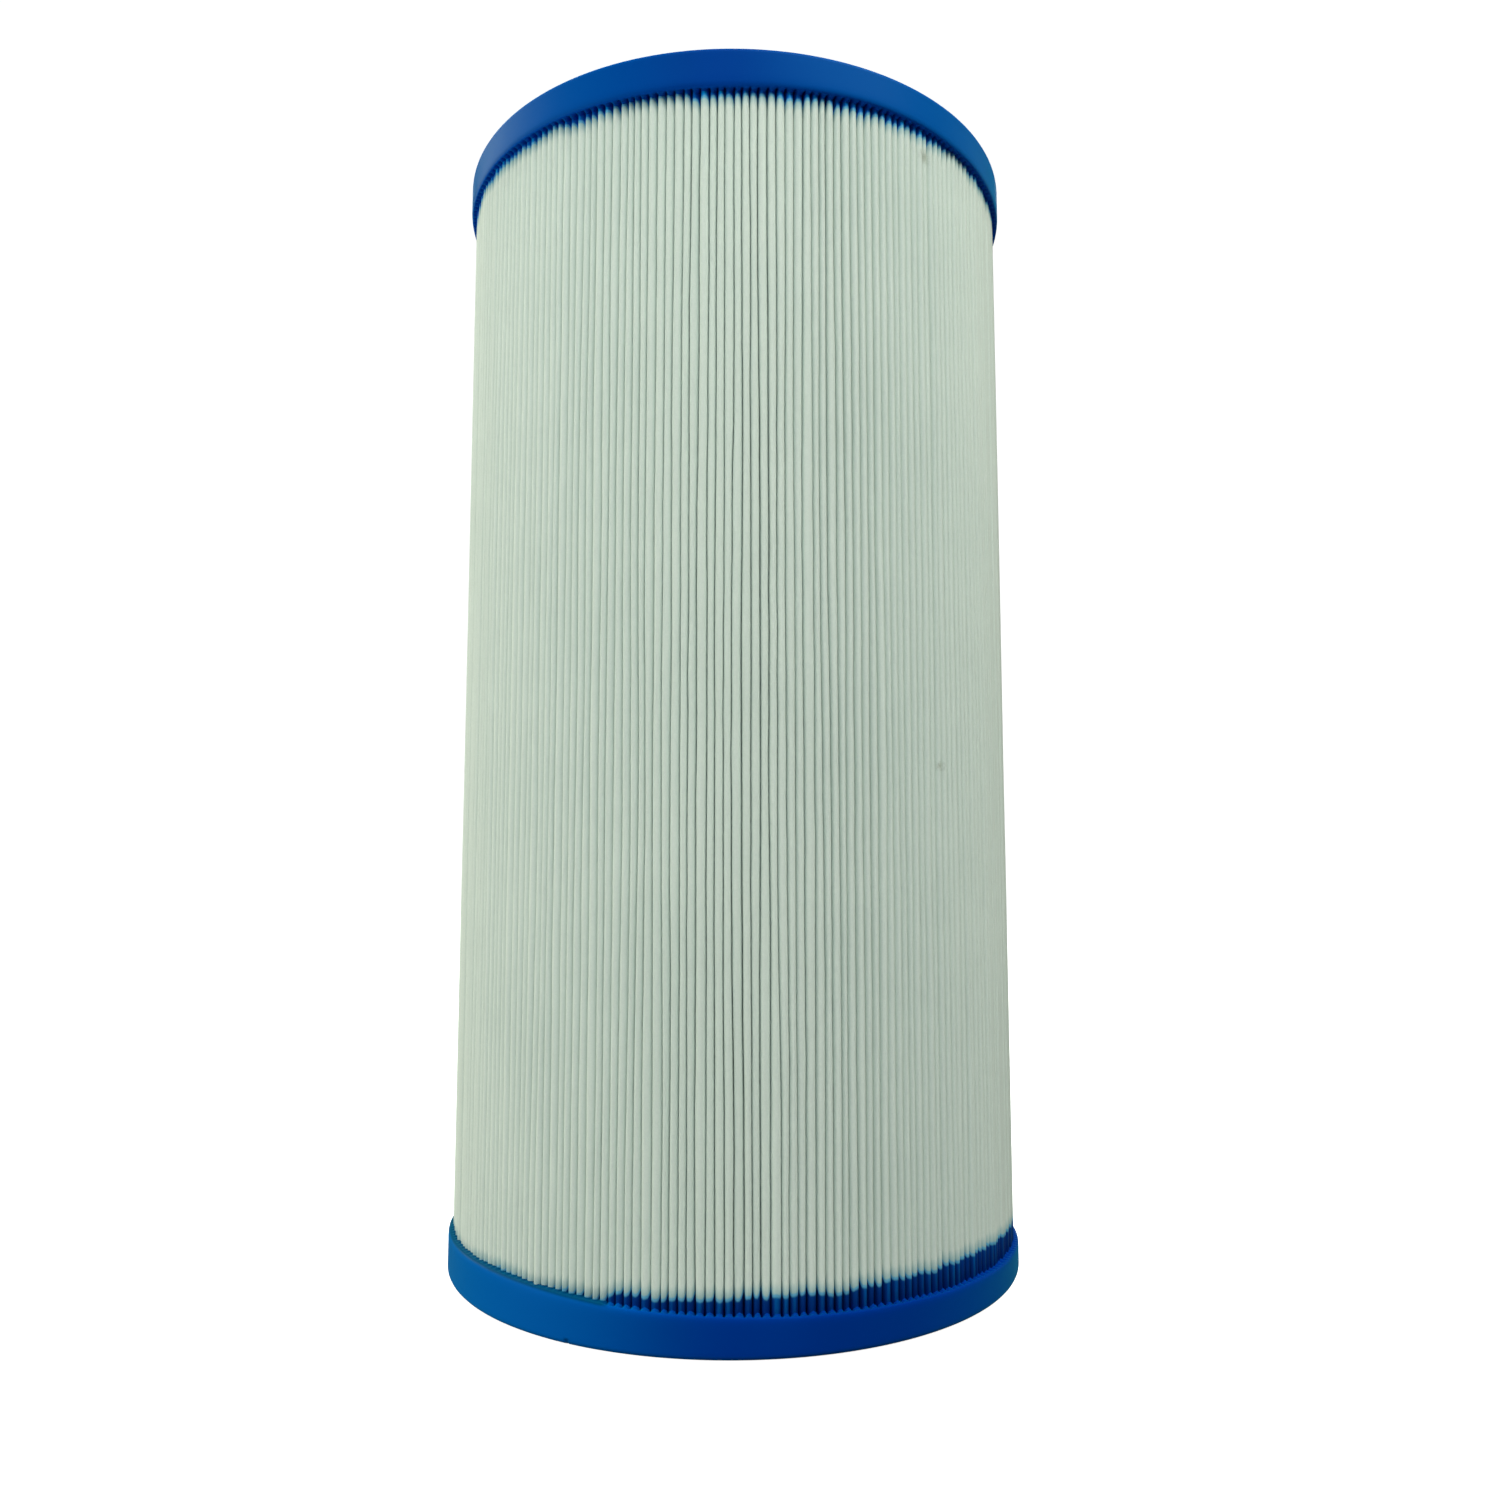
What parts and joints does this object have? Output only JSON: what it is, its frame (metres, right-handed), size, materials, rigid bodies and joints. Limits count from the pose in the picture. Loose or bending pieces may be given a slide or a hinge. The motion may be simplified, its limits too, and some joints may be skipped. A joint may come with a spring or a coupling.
{
  "type": "filter cartridge",
  "caption": "Round pleated filter cartridge with soft cast end caps and an open lattice core, as used in spas and pools.",
  "frame": {"origin": "centre of the resting face of the bottom end cap", "axes": "+Z along the cartridge's axis, from the bottom cap to the top cap; the sheet's seam lies on the +Y side"},
  "size_m": [0.125, 0.125, 0.242],
  "materials": {
    "end_cap": "smooth cast blue polyurethane, glossy",
    "media": "off-white spunbonded polyester, matte with a fine fibre grain",
    "core": "white injection-moulded plastic, satin",
    "adhesive": "set hot-melt adhesive, pale amber"
  },
  "bodies": {
    "root": {"bottom_end_cap": "end_cap", "top_end_cap": "end_cap", "core_section_1": "core", "core_section_2": "core", "core_section_3": "core", "core_section_4": "core", "pleated_media_1": "media", "pleated_media_2": "media", "pleated_media_3": "media", "pleated_media_4": "media", "pleated_media_5": "media", "seam_strip": "adhesive"}
  },
  "joints": []
}
